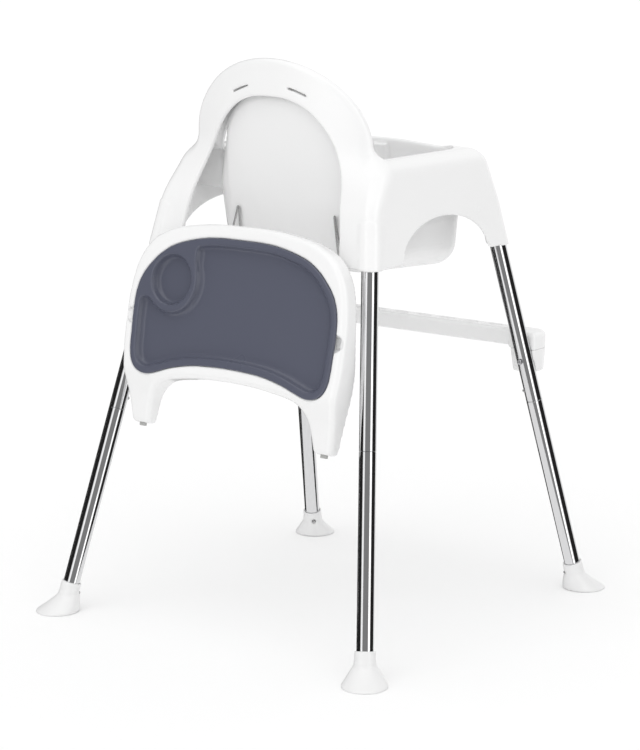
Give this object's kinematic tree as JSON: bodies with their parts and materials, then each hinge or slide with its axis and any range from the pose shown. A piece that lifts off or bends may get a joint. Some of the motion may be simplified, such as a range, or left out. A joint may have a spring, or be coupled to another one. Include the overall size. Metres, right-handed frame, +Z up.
{
  "type": "baby high chair",
  "caption": "Moulded high-chair seat on splayed chrome tube legs with cone feet, a front footrest and a lift-off tray hung behind the backrest.",
  "frame": {"origin": "on the floor at the centre of the footprint", "axes": "+Z up, the child faces -Y, +X is the child's left; the tray hangs on the back (+Y)"},
  "size_m": [0.6638, 0.681, 0.856],
  "materials": {
    "shell_plastic": "gloss white moulding",
    "rest_plastic": "gloss white moulding",
    "foot_plastic": "satin white moulding",
    "tray_plastic": "gloss white moulding",
    "insert_plastic": "satin blue-grey moulding",
    "latch_plastic": "light grey",
    "chrome_tube": "polished chrome plate",
    "button_chrome": "polished",
    "hook_wire": "bright wire",
    "spring_steel": "bare spring strip",
    "screw_steel": "zinc plated"
  },
  "bodies": {
    "chair": {"seat_shell": "shell_plastic", "upper_leg_rear_left": "chrome_tube", "lower_leg_rear_left": "chrome_tube", "foot_rear_left": "foot_plastic", "upper_leg_rear_right": "chrome_tube", "lower_leg_rear_right": "chrome_tube", "foot_rear_right": "foot_plastic", "upper_leg_front_left": "chrome_tube", "lower_leg_front_left": "chrome_tube", "foot_front_left": "foot_plastic", "upper_leg_front_right": "chrome_tube", "lower_leg_front_right": "chrome_tube", "foot_front_right": "foot_plastic", "leg_snap_springs": "spring_steel", "foot_snap_springs": "spring_steel", "leg_socket_screws": "screw_steel", "footrest_bar": "rest_plastic", "footrest_cap_left": "rest_plastic", "footrest_cap_right": "rest_plastic", "footrest_bolts": "screw_steel", "footrest_screws": "screw_steel", "tray_hook_left": "hook_wire", "tray_hook_right": "hook_wire"},
    "tray": {"tray_frame": "tray_plastic", "tray_latch_springs": "spring_steel"},
    "insert": {"tray_insert": "insert_plastic"},
    "latch_left": {"tray_latch_left": "latch_plastic"},
    "latch_right": {"tray_latch_right": "latch_plastic"},
    "leg_button_rear_left_body": {"leg_button_rear_left": "button_chrome"},
    "leg_button_rear_right_body": {"leg_button_rear_right": "button_chrome"},
    "leg_button_front_left_body": {"leg_button_front_left": "button_chrome"},
    "leg_button_front_right_body": {"leg_button_front_right": "button_chrome"},
    "foot_button_rear_left_body": {"foot_button_rear_left": "button_chrome"},
    "foot_button_rear_right_body": {"foot_button_rear_right": "button_chrome"},
    "foot_button_front_left_body": {"foot_button_front_left": "button_chrome"},
    "foot_button_front_right_body": {"foot_button_front_right": "button_chrome"}
  },
  "joints": [
    {"name": "tray_lift", "type": "slide", "parent": "chair", "child": "tray", "axis": [0, 0, 1], "range_m": [0, 0.12]},
    {"name": "insert_lift", "type": "slide", "parent": "tray", "child": "insert", "axis": [0, 0.9799, 0.1994], "range_m": [0, 0.06]},
    {"name": "latch_left_slide", "type": "slide", "parent": "tray", "child": "latch_left", "axis": [0, -0.1994, 0.9799], "range_m": [0, 0.006], "stiffness_N_per_m": 300, "springref_m": -0.004},
    {"name": "latch_right_slide", "type": "slide", "parent": "tray", "child": "latch_right", "axis": [0, -0.1994, 0.9799], "range_m": [0, 0.006], "stiffness_N_per_m": 300, "springref_m": -0.004},
    {"name": "leg_button_rear_left_press", "type": "slide", "parent": "chair", "child": "leg_button_rear_left_body", "axis": [0.6904, 0.6721, 0.2676], "range_m": [0, 0.002], "stiffness_N_per_m": 900, "springref_m": -0.003},
    {"name": "leg_button_rear_right_press", "type": "slide", "parent": "chair", "child": "leg_button_rear_right_body", "axis": [-0.6904, 0.6721, 0.2676], "range_m": [0, 0.002], "stiffness_N_per_m": 900, "springref_m": -0.003},
    {"name": "leg_button_front_left_press", "type": "slide", "parent": "chair", "child": "leg_button_front_left_body", "axis": [0.7, -0.6682, 0.252], "range_m": [0, 0.002], "stiffness_N_per_m": 900, "springref_m": -0.003},
    {"name": "leg_button_front_right_press", "type": "slide", "parent": "chair", "child": "leg_button_front_right_body", "axis": [-0.7, -0.6682, 0.252], "range_m": [0, 0.002], "stiffness_N_per_m": 900, "springref_m": -0.003},
    {"name": "foot_button_rear_left_press", "type": "slide", "parent": "chair", "child": "foot_button_rear_left_body", "axis": [0.6904, 0.6721, 0.2676], "range_m": [0, 0.002], "stiffness_N_per_m": 900, "springref_m": -0.003},
    {"name": "foot_button_rear_right_press", "type": "slide", "parent": "chair", "child": "foot_button_rear_right_body", "axis": [-0.6904, 0.6721, 0.2676], "range_m": [0, 0.002], "stiffness_N_per_m": 900, "springref_m": -0.003},
    {"name": "foot_button_front_left_press", "type": "slide", "parent": "chair", "child": "foot_button_front_left_body", "axis": [0.7, -0.6682, 0.252], "range_m": [0, 0.002], "stiffness_N_per_m": 900, "springref_m": -0.003},
    {"name": "foot_button_front_right_press", "type": "slide", "parent": "chair", "child": "foot_button_front_right_body", "axis": [-0.7, -0.6682, 0.252], "range_m": [0, 0.002], "stiffness_N_per_m": 900, "springref_m": -0.003}
  ]
}
